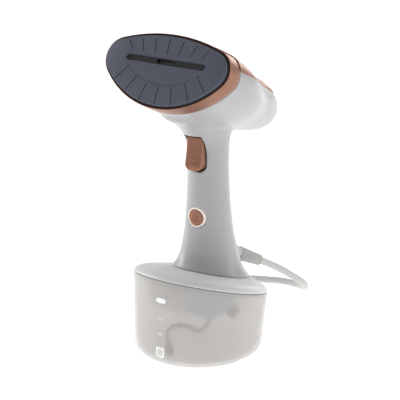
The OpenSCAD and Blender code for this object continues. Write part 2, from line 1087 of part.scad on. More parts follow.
// Tapered relief with round ribs, and the flange that holds it in the shells
module strain_relief() {
    color(cord_grey)
        on_relief() {
            // the lead's end inside the handle
            translate([0, 0, -10])
                cylinder(r = cord_r - 0.05, h = 8);
            translate([0, 0, -3.4])
                cylinder(r = 8.4, h = 2.2);
            translate([0, 0, -3])
                cylinder(r1 = 6.6, r2 = 6.4, h = 12);
            translate([0, 0, 9])
                cylinder(r1 = 5.6, r2 = 4.2, h = relief_length - 3);
            for (i = [0:9])
                translate([0, 0, 26 + i * relief_rib])
                    cylinder(r = 6.5 - i * 0.17, h = 1.7);
        }
}

relief_end = relief_length + 6;
cord_r = cord_d / 2;

function relief_point(z) = relief_origin + z * [
    sin(relief_turn) * cos(relief_drop),
    cos(relief_turn) * cos(relief_drop),
    -sin(relief_drop)
];

// The lead's route from the strain relief to its coil
cord_route = [
    [14, 96, 49.3], [17, 107, 42.6], [20, 118, 35], [22.8, 129, 27.2], [24, 137, 21.4],
    [23, 145, 15.8], [19.9, 152.6, 10.6], [15, 159, 6.9], [8.6, 163.9, 4.7], [1.1, 167, 3.6],
    [-6.9, 168.1, 3.4], [-14.9, 167.2, 3.4], [-24, 163.9, 3.4], [-36, 159, 3.4], [-50, 153, 3.4],
    [-63, 147.5, 3.4], [-75, 142.4, 3.4],
];

module power_cord() {
    color(cord_grey)
        sweep(concat([relief_point(relief_end + 0.3)], cord_route), cord_r, 10);
}

coil_centre = [-64, 95];
coil_layers = 2;
coil_top = 0.2 + coil_layers * cord_d;

module cord_coil() {
    color(cord_grey)
        translate([coil_centre.x, coil_centre.y, 0.1])
            rotate_extrude()
                translate([coil_inner_r - cord_r, 0])
                    square([coil_outer_r - coil_inner_r + cord_d, coil_top - 0.1]);
}

plug_turn = -56;
plug_offset = 24;
plug_z = coil_top + 7.3;

// Local +X runs along the plug, from its cable entry to its pins
module on_plug() {
    translate([coil_centre.x, coil_centre.y, plug_z])
        rotate([0, 0, plug_turn])
            translate([0, -plug_offset, 0])
                children();
}

module plug_body() {
    color(cord_grey)
        on_plug() {
            translate([-9, 0, -7])
                linear_extrude(height = 14)
                    polygon([
                        [0, -6], [6, -13], [14, -15.5], [38, -15.5],
                        [38, 15.5], [14, 15.5], [6, 13], [0, 6]
                    ]);
            translate([-24, 0, 0])
                rotate([0, 90, 0])
                    cylinder(r1 = 4.2, r2 = 6, h = 16);
        }
}

module plug_pins() {
    color(steel_grey)
        on_plug()
            for (side = [-1, 1])
                translate([29, side * 9.5, 0])
                    rotate([0, 90, 0])
                        cylinder(r = 2, h = 19);
}

tank();
fill_plug();
tank_seal();
tank_collar();
tank_release();
release_spring();
air_valve();
pump_cup();
pump_body();
pump_coil();
pump_plunger();
pump_spring();
suction_hose();
suction_filter();
outlet_hose();
left_shell();
right_shell();
shell_screws();
top_trim();
trigger();
trigger_pin();
trigger_spring();
micro_switch();
switch_bracket();
switch_plunger();
power_button();
power_light_ring();
button_spring();
control_board();
tact_switch();
steam_plate();
slot_insert();
plate_gasket();
trim_ring();
heater_block();
heater_cover();
heating_element();
chamber_screws();
thermostat();
thermal_fuse();
heat_shield();
cord_clamp();
clamp_screws();
strain_relief();
power_cord();
cord_coil();
plug_body();
plug_pins();
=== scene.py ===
"""Looks of the handheld garment steamer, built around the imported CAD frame.

Shapes are worked out in millimetres, in the frame's own axes: +Z up, the soleplate faces -Y and the
origin is the centre of the tank's foot. mesh_object() turns them into metres.
"""

import json
import math

import bmesh
import bpy
import numpy as np
import openvdb
from mathutils import Matrix, Vector


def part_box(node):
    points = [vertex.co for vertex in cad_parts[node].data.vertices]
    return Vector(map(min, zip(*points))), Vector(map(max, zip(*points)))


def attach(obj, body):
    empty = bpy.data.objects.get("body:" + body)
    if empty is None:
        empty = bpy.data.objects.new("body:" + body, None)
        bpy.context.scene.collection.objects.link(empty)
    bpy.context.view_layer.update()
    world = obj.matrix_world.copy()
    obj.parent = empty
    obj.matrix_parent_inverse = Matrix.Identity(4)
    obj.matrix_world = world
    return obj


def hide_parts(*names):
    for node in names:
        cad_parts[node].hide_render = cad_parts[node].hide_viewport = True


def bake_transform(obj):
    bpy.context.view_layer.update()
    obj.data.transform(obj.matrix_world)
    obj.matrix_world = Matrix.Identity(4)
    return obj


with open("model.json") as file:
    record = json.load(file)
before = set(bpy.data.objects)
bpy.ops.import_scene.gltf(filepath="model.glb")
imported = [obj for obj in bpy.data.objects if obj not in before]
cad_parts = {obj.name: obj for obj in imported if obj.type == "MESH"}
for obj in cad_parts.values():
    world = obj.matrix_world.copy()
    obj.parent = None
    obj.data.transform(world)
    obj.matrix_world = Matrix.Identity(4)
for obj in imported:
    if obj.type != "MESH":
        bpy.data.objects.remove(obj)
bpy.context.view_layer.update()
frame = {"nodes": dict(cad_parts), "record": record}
scene = bpy.context.scene
MM = 0.001


# ---------------------------------------------------------------- numeric tools


def hermite(knots, values, at):
    """Smooth values at the given places along the knots, one row of values per knot."""
    knots = np.asarray(knots, float)
    values = np.asarray(values, float).reshape(len(knots), -1)
    slopes = np.gradient(values, knots, axis=0)
    at = np.clip(np.asarray(at, float), knots[0], knots[-1])
    i = np.clip(np.searchsorted(knots, at, side="right") - 1, 0, len(knots) - 2)
    h = (knots[i + 1] - knots[i])[..., None]
    t = (at - knots[i])[..., None] / h
    return (
        (2 * t**3 - 3 * t**2 + 1) * values[i]
        + (t**3 - 2 * t**2 + t) * h * slopes[i]
        + (3 * t**2 - 2 * t**3) * values[i + 1]
        + (t**3 - t**2) * h * slopes[i + 1]
    )


def even_path(points, step):
    """Points a step apart along a smooth line through the given points."""
    points = np.asarray(points, float)
    along = np.concatenate([[0], np.cumsum(np.linalg.norm(np.diff(points, axis=0), axis=1))])
    dense = hermite(along, points, np.linspace(0, along[-1], 60 * len(points)))
    length = np.concatenate([[0], np.cumsum(np.linalg.norm(np.diff(dense, axis=0), axis=1))])
    places = np.linspace(0, length[-1], max(3, round(length[-1] / step) + 1))
    return np.column_stack([np.interp(places, length, dense[:, k]) for k in range(3)])


def smooth_min(a, b, k):
    """The lesser of two fields, blended where they are within k of each other."""
    h = np.clip(0.5 + 0.5 * (b - a) / k, 0, 1)
    return b * (1 - h) + a * h - k * h * (1 - h)


def smooth_max(a, b, k):
    return -smooth_min(-a, -b, k)


def as_distance(field, step):
    """A field that is zero on the surface, scaled so that it counts millimetres near it."""
    gx, gy, gz = np.gradient(field, step)
    return field / np.maximum(np.sqrt(gx * gx + gy * gy + gz * gz), 1e-4)


def box_distance(coordinates, half, corner):
    """Distance to a box or rectangle with round corners, from its centre."""
    over = [np.abs(c) - (h - corner) for c, h in zip(coordinates, half)]
    outside = np.sqrt(sum(np.maximum(q, 0) ** 2 for q in over))
    inside = np.minimum(np.maximum.reduce(np.broadcast_arrays(*over)), 0)
    return outside + inside - corner


def grid_axes(low, high, step):
    """Open coordinate arrays of a regular grid, which numpy spreads over each other."""
    x, y, z = (np.arange(a, b + step, step) for a, b in zip(low, high))
    return x[:, None, None], y[None, :, None], z[None, None, :]


# ---------------------------------------------------------------- mesh tools


def mesh_object(name, points, faces, sharp_angle=40):
    mesh = bpy.data.meshes.new(name)
    mesh.from_pydata((np.asarray(points, float) * MM).tolist(), [], [list(map(int, f)) for f in faces])
    mesh.validate()
    mesh.shade_smooth()
    mesh.set_sharp_from_angle(angle=math.radians(sharp_angle))
    obj = bpy.data.objects.new(name, mesh)
    scene.collection.objects.link(obj)
    return obj


def volume_of(points, faces):
    """Signed volume of a closed mesh of quads, which says whether its faces look outwards."""
    p = np.asarray(points, float)
    f = np.asarray(faces)
    first = np.einsum("ij,ij->i", p[f[:, 0]], np.cross(p[f[:, 1]], p[f[:, 2]]))
    second = np.einsum("ij,ij->i", p[f[:, 0]], np.cross(p[f[:, 2]], p[f[:, 3]]))
    return (first.sum() + second.sum()) / 6


def relax(points, faces, rounds):
    """Evens out a dense mesh without shrinking it: each smoothing step is followed by one back."""
    edges = np.concatenate([faces[:, [k, (k + 1) % 4]] for k in range(4)])
    count = np.bincount(edges.ravel(), minlength=len(points)).astype(float)[:, None]
    for step in [0.5, -0.52] * rounds:
        total = np.zeros_like(points)
        np.add.at(total, edges[:, 0], points[edges[:, 1]])
        np.add.at(total, edges[:, 1], points[edges[:, 0]])
        points = points + step * (total / count - points)
    return points


def solid_from_field(name, field, low, step, rounds=2, sharp_angle=60):
    """A closed mesh where the distance field is zero."""
    volume = openvdb.FloatGrid(4 * step)
    volume.copyFromArray(np.ascontiguousarray(field, dtype=np.float32))
    points, quads = volume.convertToQuads()
    points = relax(points.astype(float), quads, rounds) * step + np.asarray(low, float)
    if volume_of(points, quads) < 0:
        quads = quads[:, ::-1]
    return mesh_object(name, points, quads, sharp_angle)


def ring_faces(rows, columns, wrap_rows):
    """Quads between rings of points, closed round each ring.

    With wrap_rows they also run from the last ring to the first.
    """
    i, j = np.meshgrid(np.arange(rows if wrap_rows else rows - 1), np.arange(columns), indexing="ij")
    a = i * columns + j
    b = i * columns + (j + 1) % columns
    c = ((i + 1) % rows) * columns + (j + 1) % columns
    d = ((i + 1) % rows) * columns + j
    return np.stack([a, b, c, d], axis=-1).reshape(-1, 4)


def loft(name, rings, wrap=False, sharp_angle=40):
    """A closed mesh through rings of points, with flat ends or, if wrap is set, joined to itself."""
    rings = np.asarray(rings, float)
    rows, columns = rings.shape[:2]
    points = rings.reshape(-1, 3)
    quads = ring_faces(rows, columns, wrap)
    ends = [] if wrap else [np.arange(columns)[::-1], (rows - 1) * columns + np.arange(columns)]
    faces = [*quads.tolist(), *[e.tolist() for e in ends]]
    if volume_of(points - points.mean(0), quads) < 0:
        faces = [f[::-1] for f in faces]
    return mesh_object(name, points, faces, sharp_angle)


def frames_along(path):
    """Two directions across a path at each of its points, which don't twist along it."""
    tangents = np.gradient(path, axis=0)
    tangents /= np.linalg.norm(tangents, axis=1)[:, None]
    first = np.cross([0, 0, 1.0], tangents[0])
    if np.linalg.norm(first) < 1e-3:
        first = np.array([1.0, 0, 0])
    across = []
    for t in tangents:
        first = first - t * np.dot(first, t)
        first = first / np.linalg.norm(first)
        across.append(first)
    across = np.array(across)
    return across, np.cross(tangents, across)


def tube(name, path, radii, sides=20):
    """A round tube along a path, with a radius at each point."""
    path = np.asarray(path, float)
    u, v = frames_along(path)
    a = np.linspace(0, 2 * np.pi, sides, endpoint=False)
    radii = np.broadcast_to(np.asarray(radii, float), len(path))[:, None, None]
    rings = path[:, None] + radii * (u[:, None] * np.cos(a)[:, None] + v[:, None] * np.sin(a)[:, None])
    return loft(name, rings, sharp_angle=60)


def apply_modifier(obj, modifier):
    with bpy.context.temp_override(object=obj, active_object=obj):
        bpy.ops.object.modifier_apply(modifier=modifier.name)


def cut(obj, cutters):
    """Subtracts the cutters, which are used up."""
    for cutter in cutters:
        modifier = obj.modifiers.new("cut", "BOOLEAN")
        modifier.operation = "DIFFERENCE"
        modifier.solver = "EXACT"
        modifier.object = cutter
        apply_modifier(obj, modifier)
        bpy.data.objects.remove(cutter)


# ---------------------------------------------------------------- materials


ROUGH_SPREAD = 0.05


def material(name, colour, roughness, metallic=0.0, mottle=0.03, mottle_size=12.0, grain=0.02,
             grain_size=0.5, settings=None):
    """A moulded, painted or metal finish. Sizes are in millimetres: mottle_size is that of the slow colour
    variation and grain_size that of the surface's relief, whose depth is grain."""
    made = bpy.data.materials.new(name)
    made.use_nodes = True
    tree = made.node_tree
    shader = tree.nodes["Principled BSDF"]
    place = tree.nodes.new("ShaderNodeTexCoord")

    def noise(size, detail):
        node = tree.nodes.new("ShaderNodeTexNoise")
        node.inputs["Scale"].default_value = 1 / (size * MM)
        node.inputs["Detail"].default_value = detail
        tree.links.new(place.outputs["Object"], node.inputs["Vector"])
        return node.outputs["Fac"]

    slow = noise(mottle_size, 3)
    shades = tree.nodes.new("ShaderNodeMix")
    shades.data_type = "RGBA"
    shades.inputs["A"].default_value = [c * (1 - mottle) for c in colour] + [1]
    shades.inputs["B"].default_value = [min(1, c * (1 + mottle)) for c in colour] + [1]
    tree.links.new(slow, shades.inputs["Factor"])
    tree.links.new(shades.outputs["Result"], shader.inputs["Base Color"])

    fine = noise(grain_size, 2)
    spread = tree.nodes.new("ShaderNodeMapRange")
    spread.inputs["To Min"].default_value = max(0.02, roughness - ROUGH_SPREAD)
    spread.inputs["To Max"].default_value = min(1, roughness + ROUGH_SPREAD)
    tree.links.new(slow, spread.inputs["Value"])
    tree.links.new(spread.outputs["Result"], shader.inputs["Roughness"])

    bump = tree.nodes.new("ShaderNodeBump")
    bump.inputs["Strength"].default_value = 0.5
    bump.inputs["Distance"].default_value = grain * MM
    tree.links.new(fine, bump.inputs["Height"])
    tree.links.new(bump.outputs["Normal"], shader.inputs["Normal"])

    shader.inputs["Metallic"].default_value = metallic
    for socket, value in (settings or {}).items():
        shader.inputs[socket].default_value = value
    return made


FINISH = {
    "shell_white": material("gloss_white", (0.52, 0.52, 0.528), 0.31, mottle=0.012, mottle_size=30,
                            grain=0.012, grain_size=1.6,
                            settings={"Coat Weight": 0.18, "Coat Roughness": 0.2}),
    "frosted": material("frosted_white", (0.87, 0.87, 0.865), 0.42, mottle=0.02, grain=0.03, grain_size=0.35),
    "tank_clear": material("smoked_tank", (0.79, 0.76, 0.735), 0.3, mottle=0.03, mottle_size=25, grain=0.02,
                           grain_size=1.2, settings={"Alpha": 0.46, "IOR": 1.2}),
    "rose_gold": material("rose_gold", (0.35, 0.163, 0.105), 0.38, metallic=0.6, mottle=0.05, mottle_size=6,
                          grain=0.02, grain_size=0.25),
    "plate_coating": material("plate_coating", (0.125, 0.135, 0.178), 0.36, metallic=0.3, mottle=0.06,
                              mottle_size=4, grain=0.02, grain_size=0.3),
    "rubber": material("black_rubber", (0.022, 0.022, 0.024), 0.6, mottle=0.15, grain=0.05, grain_size=0.4),
    "cup_grey": material("cup_grey", (0.36, 0.49, 0.60), 0.35, mottle=0.03),
    "nylon": material("natural_nylon", (0.68, 0.67, 0.60), 0.45, mottle=0.04),
    "copper": material("winding_copper", (0.55, 0.24, 0.09), 0.3, metallic=0.9, mottle=0.1, mottle_size=1.5),
    "steel": material("bright_steel", (0.58, 0.58, 0.59), 0.25, metallic=1.0, mottle=0.05, grain=0.02),
    "cast_aluminium": material("cast_aluminium", (0.13, 0.13, 0.135), 0.55, metallic=0.6, mottle=0.08,
                               grain=0.12, grain_size=0.6),
    "silicone": material("hose_silicone", (0.42, 0.40, 0.37), 0.4, mottle=0.03, settings={"IOR": 1.41}),
    "black_plastic": material("black_plastic", (0.03, 0.03, 0.033), 0.35, mottle=0.1, grain=0.03),
    "switch_red": material("switch_red", (0.40, 0.03, 0.02), 0.35, mottle=0.05),
    "light_ring": material("light_ring", (0.92, 0.82, 0.76), 0.3, mottle=0.02,
                           settings={"Emission Color": (1, 0.9, 0.82, 1), "Emission Strength": 0.25}),
    "circuit_board": material("solder_mask", (0.02, 0.10, 0.045), 0.3, mottle=0.12, mottle_size=3),
    "cord_grey": material("cord_grey", (0.66, 0.65, 0.63), 0.46, mottle=0.03, mottle_size=15, grain=0.03,
                          grain_size=0.7),
}
# dark rubber for the gasket, tinted brown as a painted reflection of the rose-gold ring
GASKET_RUBBER_PAINTED_REFLECTION = material("gasket_rubber_painted_reflection", (0.06, 0.043, 0.038), 0.6, mottle=0.12, grain=0.04)
# white print of the level marks, with an emission that is a painted glow
PRINT_WHITE_PAINTED_GLOW = material("printed_white_painted_glow", (0.86, 0.86, 0.86), 0.45, mottle=0.02, grain=0.01,
                       settings={"Emission Color": (1, 1, 1, 1), "Emission Strength": 0.3})
# near black for the slot insert, as painted shade of the recessed slot
SLOT_PAINTED_SHADE = material("slot_painted_shade", (0.018, 0.018, 0.019), 0.5, mottle=0.1, mottle_size=3)
FLOOR_WHITE = material("floor_white", (0.8, 0.8, 0.8), 0.7, mottle=0.004, mottle_size=200,
                       settings={"Emission Color": (1, 1, 1, 1), "Emission Strength": 0.62})
WALL_PALE = material("wall_pale", (0.75, 0.75, 0.75), 0.7, mottle=0.004, mottle_size=200,
                     settings={"Emission Color": (1, 1, 1, 1), "Emission Strength": 0.05})


def finish(obj, slot, body, replaced=(), look=None):
    """Gives a new piece its material and its body, and hides the CAD nodes that it stands for."""
    obj.data.materials.clear()
    obj.data.materials.append(look or FINISH[slot])
    if replaced:
        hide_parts(*replaced)
    if body:
        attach(obj, body)
    return obj


def paint_cad_nodes():
    """Every CAD node that stays in view takes the finish of its slot in the record."""
    for part in frame["record"]["subparts"]:
        node = frame["nodes"][part["node"]]
        node.data.materials.clear()
        node.data.materials.append(FINISH[part["material_slot"]])
        node.data.shade_smooth()
        node.data.set_sharp_from_angle(angle=math.radians(35))


# ---------------------------------------------------------------- camera


def make_camera():
    look_at = Vector((0.0013, 0.0009, 0.1344))
    azimuth, elevation, distance = math.radians(34.06), math.radians(18.05), 1.313
    back = Vector((
        math.sin(azimuth) * math.cos(elevation),
        -math.cos(azimuth) * math.cos(elevation),
        math.sin(elevation),
    ))
    camera = bpy.data.objects.new("camera", bpy.data.cameras.new("camera"))
    scene.collection.objects.link(camera)
    camera.data.lens = 137.3
    camera.data.clip_start = 0.05
    camera.location = look_at + back * distance
    camera.rotation_euler = (-back).to_track_quat("-Z", "Y").to_euler()
    scene.camera = camera


# ---------------------------------------------------------------- frame of the design

# The seam between tank and collar
SEAM_HEIGHT = 60.3
SEAM_TILT = math.radians(17.05)
RIM_SHIFT = 4.0
BASE_SHIFT = 17.2
RIM_R = 59.4
FOOT_R = 56.1
FOOT_FILLET = 7.0
COLLAR_HEIGHT = 8.6

# The grip
GRIP_HALF_W = 18.2
FLARE_HALF_W = 38.5
SHELL_WALL = 2.2
BUTTON_Z = 119.6
BUTTON_R = 7.5
TRIGGER_HALF_W = 8.15
TRIGGER_LOW = 161.6
TRIGGER_HIGH = 193.5
TRIGGER_CORNER_R = 7.0
PIN = (4.0, 190.0)

# The head: the steam slot's centre, the soleplate's lean and its outline
SLOT_Y = -48.0
SLOT_Z = 265.0
HEAD_TILT = math.radians(26.35)
TOP_R = 150.0
BOTTOM_R = 73.0
END_R = 15.5
RISE = 21.5
DROP = 36.3
SLOT_LENGTH = 77.0
SLOT_WIDTH = 4.6
RING_DEPTH = 19.0
HEAD_DEPTH = 170.0

# The lead
CORD_R = 3.25
RELIEF_ORIGIN = np.array([0.0, 36.0, 81.0])
RELIEF_TURN = math.radians(13)
RELIEF_DROP = math.radians(27)
RELIEF_END = 56.3


def seam_point(x, y, z):
    """From the sloping frame of the seam to the object's frame."""
    return np.stack([
        x + 0 * y,
        y * math.cos(SEAM_TILT) + z * math.sin(SEAM_TILT) + 0 * x,
        SEAM_HEIGHT - y * math.sin(SEAM_TILT) + z * math.cos(SEAM_TILT) + 0 * x,
    ], axis=-1)


def head_point(x, p, n):
    """From the head's frame, where p runs up the soleplate and n out of it, to the object's frame."""
    return np.stack([
        x + 0 * p,
        SLOT_Y + p * math.sin(HEAD_TILT) - n * math.cos(HEAD_TILT) + 0 * x,
        SLOT_Z + p * math.cos(HEAD_TILT) + n * math.sin(HEAD_TILT) + 0 * x,
    ], axis=-1)


# The outline is two long arcs joined by two end arcs that touch them
TOP_CENTRE = RISE - TOP_R
BOTTOM_CENTRE = BOTTOM_R - DROP
END_P = (
    (TOP_R - END_R) ** 2 - (BOTTOM_R - END_R) ** 2 - TOP_CENTRE**2 + BOTTOM_CENTRE**2
) / (2 * (BOTTOM_CENTRE - TOP_CENTRE))
END_X = math.sqrt((BOTTOM_R - END_R) ** 2 - (END_P - BOTTOM_CENTRE) ** 2)
TOP_ANGLE = math.atan2(END_P - TOP_CENTRE, END_X)
BOTTOM_ANGLE = math.atan2(END_P - BOTTOM_CENTRE, END_X)
PLATE_HALF_W = END_X + END_R
PLATE_MID = (RISE - DROP) / 2
PLATE_HALF_H = (RISE + DROP) / 2


def leaf(offset, count=240):
    """The soleplate's outline, moved outwards by an offset: count points, as (x, p)."""
    arcs = [
        (END_X, END_P, END_R, BOTTOM_ANGLE, TOP_ANGLE),
        (0, TOP_CENTRE, TOP_R, TOP_ANGLE, math.pi - TOP_ANGLE),
        (-END_X, END_P, END_R, math.pi - TOP_ANGLE, math.pi - BOTTOM_ANGLE),
        (0, BOTTOM_CENTRE, BOTTOM_R, math.pi - BOTTOM_ANGLE, 2 * math.pi + BOTTOM_ANGLE),
    ]
    points = []
    for cx, cp, r, start, end in arcs:
        for a in np.linspace(start, end, count // 4, endpoint=False):
            points.append((cx + (r + offset) * math.cos(a), cp + (r + offset) * math.sin(a)))
    return np.array(points)


# ---------------------------------------------------------------- handle and head shells

# Sections of the grip: height, depth of the centre, share of growth in width and in depth, slope
GRIP_SECTIONS = np.array([
    [55, 19.2, 1.12, 1.12, 15],
    [60.2, 19.0, 1.00, 1.00, 15],
    [63.0, 18.8, 0.84, 0.84, 15],
    [67.0, 18.5, 0.70, 0.70, 14],
    [72.5, 18.2, 0.545, 0.545, 12],
    [80, 17.8, 0.41, 0.41, 8],
    [91, 17.3, 0.285, 0.285, 4],
    [104, 16.7, 0.17, 0.17, 2],
    [120, 16.2, 0.09, 0.09, 0],
    [138, 15.9, 0.03, 0.03, 0],
    [156, 15.7, 0, 0, 0],
    [172, 15.5, 0, 0.01, 0],
    [183, 15.2, 0.01, 0.08, 0],
    [189, 14.9, 0.03, 0.22, 0],
    [194, 15.0, 0.07, 0.43, 0],
    [200, 16.0, 0.12, 0.78, 0],
    [207, 11.3, 0.22, 1.01, 0],
    [213, 6.0, 0.34, 1.27, 0],
    [222, 6.0, 0.34, 1.27, 0],
])

# Sections of the head: depth, share of roundness, half width, half height, centre
HEAD_SECTIONS = np.array([
    [RING_DEPTH, 0, PLATE_HALF_W, PLATE_HALF_H, PLATE_MID],
    [34, 0.14, 57, 28, -9.5],
    [52, 0.36, 54, 27, -9],
    [72, 0.64, 49.5, 26.5, -8],
    [92, 0.9, 43.5, 26, -6],
    [112, 1, 37.5, 25.5, -3.5],
    [132, 1, 32, 24, -1.5],
    [148, 1, 26.5, 21, -0.5],
    [160, 1, 19.5, 16, 0],
    [167.5, 1, 11, 9, 0.5],
    [HEAD_DEPTH, 1, 3, 3, 0.5],
])


def head_section(depth):
    """The head's closed outline at a depth behind the soleplate, as (x, p)."""
    share, half_w, half_h, centre = hermite(HEAD_SECTIONS[:, 0], HEAD_SECTIONS[:, 1:], depth)
    outline = leaf(2.5)
    angle = np.arctan2((outline[:, 1] - PLATE_MID) / PLATE_HALF_H, outline[:, 0] / PLATE_HALF_W)
    oval = np.column_stack([half_w * np.cos(angle), centre + half_h * np.sin(angle)])
    return outline + (oval - outline) * np.clip(share, 0, 1)


def grip_field(x, y, z):
    """Zero on the grip's skin, from its flared foot into the head."""
    heights = GRIP_SECTIONS[:, 0]
    levels = np.linspace(heights[0], heights[-1], 400)
    centre, wide, deep, slope = hermite(heights, GRIP_SECTIONS[:, 1:], levels).T
    slope = np.radians(slope)
    place = np.empty((y.size, z.size))
    for k, depth in enumerate(y.ravel()):
        place[k] = np.interp(z.ravel(), levels - (depth - centre) * np.tan(slope), levels)

    def at(values):
        return np.interp(place, levels, values)[None]

    half_w = at(GRIP_HALF_W + (FLARE_HALF_W - GRIP_HALF_W) * wide)
    half_d = at((GRIP_HALF_W + (FLARE_HALF_W - GRIP_HALF_W) * deep) * np.cos(slope))
    return np.sqrt((x / half_w) ** 2 + ((y - at(centre)) / half_d) ** 2) - 1


def head_field(x, y, z):
    """Zero on the head's skin, looked up in a table of radius by depth and angle."""
    p = (y - SLOT_Y) * math.sin(HEAD_TILT) + (z - SLOT_Z) * math.cos(HEAD_TILT)
    depth = (y - SLOT_Y) * math.cos(HEAD_TILT) - (z - SLOT_Z) * math.sin(HEAD_TILT)
    depths = np.arange(RING_DEPTH, HEAD_DEPTH + 0.5, 0.5)
    angles = np.linspace(-math.pi, math.pi, 361)
    centres = hermite(HEAD_SECTIONS[:, 0], HEAD_SECTIONS[:, 4], depths)[:, 0]
    table = np.empty((len(depths), len(angles)))
    for k, (level, centre) in enumerate(zip(depths, centres)):
        q = head_section(level) - [0, centre]
        turn = np.arctan2(q[:, 1], q[:, 0])
        table[k] = np.interp(angles, turn, np.hypot(*q.T), period=2 * math.pi)
    row = np.clip((depth - depths[0]) / 0.5, 0, len(depths) - 1.001)
    across = p - np.interp(depth, depths, centres)
    turn = np.arctan2(across + 0 * x, x + 0 * across)
    column = np.clip((turn + math.pi) / (angles[1] - angles[0]), 0, len(angles) - 1.001)
    r0 = np.broadcast_to(row.astype(int), column.shape)
    c0 = column.astype(int)
    fr, fc = row - row.astype(int), column - c0
    radius = (
        (table[r0, c0] * (1 - fc) + table[r0, c0 + 1] * fc) * (1 - fr)
        + (table[r0 + 1, c0] * (1 - fc) + table[r0 + 1, c0 + 1] * fc) * fr
    )
    return np.sqrt(x * x + across * across) / radius - 1, depth


def trigger_outline(x, z, gap, drop):
    """Distance in front view to the trigger's outline, whose lower end is round, widened by a gap."""
    low = TRIGGER_LOW - drop
    high = TRIGGER_HIGH + 10
    corner = TRIGGER_CORNER_R + gap
    return box_distance((x, z - (low + high) / 2), (TRIGGER_HALF_W + gap, (high - low) / 2), corner)


def relief_direction():
    return np.array([
        math.sin(RELIEF_TURN) * math.cos(RELIEF_DROP),
        math.cos(RELIEF_TURN) * math.cos(RELIEF_DROP),
        -math.sin(RELIEF_DROP),
    ])


# Screws that join the shells: depth, height, and how far left of the middle the head sits
SCREWS = [(31.5, 106, 8), (30, 146, 7.5), (29.5, 176, 7.5), (62, 209, 12)]
POST_R = 3.9
SCREW_BORE_R = 2.6
SHELL_STEP = 1.0
GRIP_TOP = 219
# The openings in front reach this deep, and the strain relief's hole is this wide
FRONT_REACH = 10
RELIEF_HOLE_R = 6.9


def keep_right_of(obj, x):
    """Cuts a closed mesh at a plane across X and closes it there, with a sharp edge."""
    mesh = bmesh.new()
    mesh.from_mesh(obj.data)
    geometry = [*mesh.verts, *mesh.edges, *mesh.faces]
    result = bmesh.ops.bisect_plane(
        mesh, geom=geometry, plane_co=(x * MM, 0, 0), plane_no=(-1, 0, 0), clear_outer=True
    )
    rim = [e for e in result["geom_cut"] if isinstance(e, bmesh.types.BMEdge)]
    bmesh.ops.triangle_fill(mesh, edges=rim, use_beauty=True, normal=(-1, 0, 0))
    bmesh.ops.recalc_face_normals(mesh, faces=mesh.faces)
    for edge in rim:
        edge.smooth = False
    mesh.to_mesh(obj.data)
    mesh.free()


def make_shells():
    low = np.array([-4.0, -52.0, 48.0])
    x, y, z = grid_axes(low, (66.0, 112.0, 284.0), SHELL_STEP)
    grip = as_distance(grip_field(x, y, z), SHELL_STEP)
    grip = np.maximum(grip, z - GRIP_TOP)
    head_shape, depth = head_field(x, y, z)
    head = as_distance(head_shape, SHELL_STEP)
    head = np.maximum(head, depth - HEAD_DEPTH)
    head = np.maximum(head, RING_DEPTH - 3 - depth)
    skin = smooth_min(grip, head, 5)
    hollow = -(skin + SHELL_WALL)
    shell = np.maximum(skin, hollow)
    shell = smooth_max(shell, RING_DEPTH + 0.35 - depth, 0.8)
    above_collar = (y * math.sin(SEAM_TILT)) + (z - SEAM_HEIGHT) * math.cos(SEAM_TILT)
    shell = smooth_max(shell, COLLAR_HEIGHT + 0.1 - above_collar, 0.8)

    for depth_y, height, _ in SCREWS:
        post = np.hypot(y - depth_y, z - height) - POST_R
        shell = np.minimum(shell, np.maximum(post, skin + 1))

    window = trigger_outline(x, z, 0.35, 1.4)
    window = np.maximum(np.maximum(window, z - TRIGGER_HIGH - 0.4), y - FRONT_REACH)
    shell = smooth_max(shell, -window, 0.8)
    button = np.maximum(np.hypot(x, z - BUTTON_Z) - BUTTON_R - 1.3, y - FRONT_REACH)
    shell = smooth_max(shell, -button, 0.6)
    towards = relief_direction()
    offset = [a - o for a, o in zip((x, y, z), RELIEF_ORIGIN)]

    def outlet(side):
        along = side * offset[0] * towards[0] + offset[1] * towards[1] + offset[2] * towards[2]
        away = sum(o * o for o in offset) - along**2
        return np.maximum(np.sqrt(np.maximum(away, 0)) - RELIEF_HOLE_R, -along)

    for side, name in ((-1, "left_shell"), (1, "right_shell")):
        half = smooth_max(shell, -outlet(side), 0.6)
        for depth_y, height, head_at in SCREWS:
            if side < 0:
                bore = np.hypot(y - depth_y, z - height) - SCREW_BORE_R
                half = smooth_max(half, -np.maximum(bore, head_at + 1 - x), 0.5)
        piece = solid_from_field(name + "_skin", half, low, SHELL_STEP, 9)
        keep_right_of(piece, 0.03)
        if side < 0:
            piece.data.transform(((-1, 0, 0, 0), (0, 1, 0, 0), (0, 0, 1, 0), (0, 0, 0, 1)))
            piece.data.flip_normals()
        finish(piece, "shell_white", "handle", [name])


# ---------------------------------------------------------------- ring, gasket and top cover


RING_SET_BACK = 2.9
OUTLINE_POINTS = 320


def band(name, profile):
    """A closed band round the soleplate's outline, from a profile of (offset, n)."""
    rings = []
    for offset, n in profile:
        outline = leaf(offset, OUTLINE_POINTS)
        rings.append(head_point(outline[:, 0], outline[:, 1], n))
    return loft(name, rings, wrap=True, sharp_angle=35)


